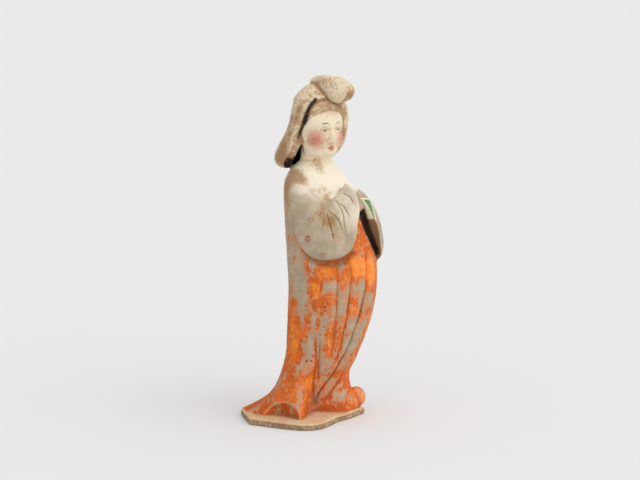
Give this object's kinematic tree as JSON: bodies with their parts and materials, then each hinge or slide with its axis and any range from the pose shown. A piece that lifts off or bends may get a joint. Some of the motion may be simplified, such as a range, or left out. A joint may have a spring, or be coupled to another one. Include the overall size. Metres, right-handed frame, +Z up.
{
  "type": "tang court lady figure",
  "caption": "Plump standing court lady in painted pottery, hands joined in long sleeves, hair rolled up to a forward bun, on a thin hand-cut slab.",
  "frame": {"origin": "on the flat underside of the slab, in the middle of its width and depth as driven, at floor level", "axes": "+Z up along the standing figure, -Y the way the body faces, +X to the lady's left"},
  "size_m": [0.1302, 0.1191, 0.3349],
  "materials": {
    "painted_pottery": "matt low-fired clay with white slip and unfired pigments, worn"
  },
  "bodies": {
    "root": {"court_lady_figure": "painted_pottery"}
  },
  "joints": []
}
